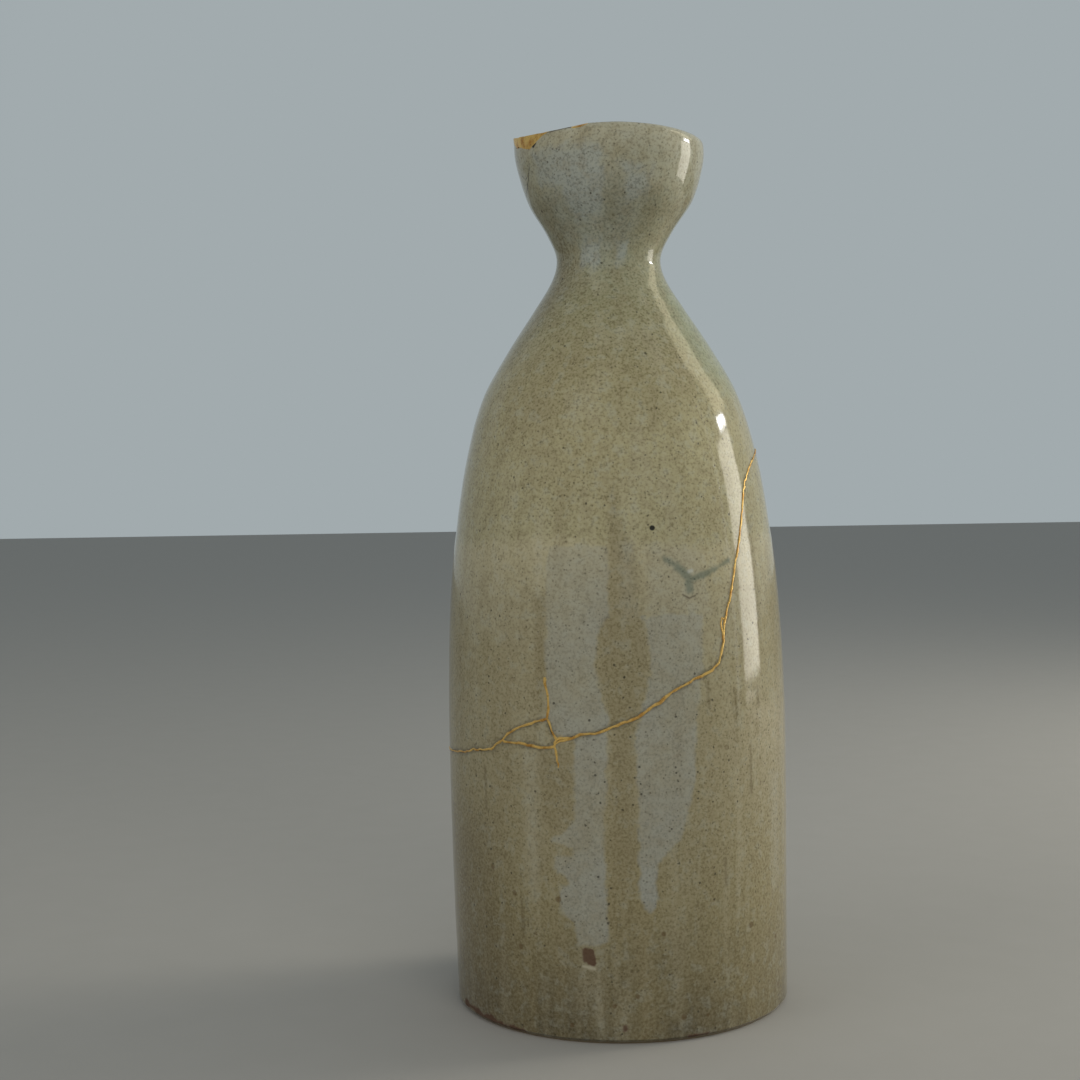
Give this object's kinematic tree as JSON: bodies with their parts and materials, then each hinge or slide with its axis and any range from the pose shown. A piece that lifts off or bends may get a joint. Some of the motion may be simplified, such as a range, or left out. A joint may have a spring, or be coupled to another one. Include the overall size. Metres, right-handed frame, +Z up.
{
  "type": "sake bottle",
  "caption": "Tall glazed stoneware sake bottle with a cup-shaped mouth, mended with gold-dusted lacquer along its breaks and on its lip.",
  "frame": {"origin": "centre of the foot, on the plane the bottle stands on", "axes": "+Z up along the axis of the wheel; the front, with the small chip and its gold lines, faces -Y"},
  "size_m": [0.1059, 0.1058, 0.27],
  "materials": {
    "glazed_stoneware": "glossy grey-olive ash glaze, crazed and speckled",
    "lacquer_glue": "cured dark brown lacquer glue",
    "gold_dusted_lacquer": "burnished gold powder on lacquer",
    "lacquer_putty": "cured lacquer and clay putty"
  },
  "bodies": {
    "root": {"lower_sherd": "glazed_stoneware", "upper_sherd": "glazed_stoneware", "chip_sherd": "glazed_stoneware", "ring_glue": "lacquer_glue", "chip_glue": "lacquer_glue", "ring_gold_line": "gold_dusted_lacquer", "chip_gold_line": "gold_dusted_lacquer", "upper_spur_gold_line": "gold_dusted_lacquer", "lower_spur_gold_line": "gold_dusted_lacquer", "lip_putty": "lacquer_putty", "lip_gold": "gold_dusted_lacquer", "rim_patch_gold": "gold_dusted_lacquer"}
  },
  "joints": []
}
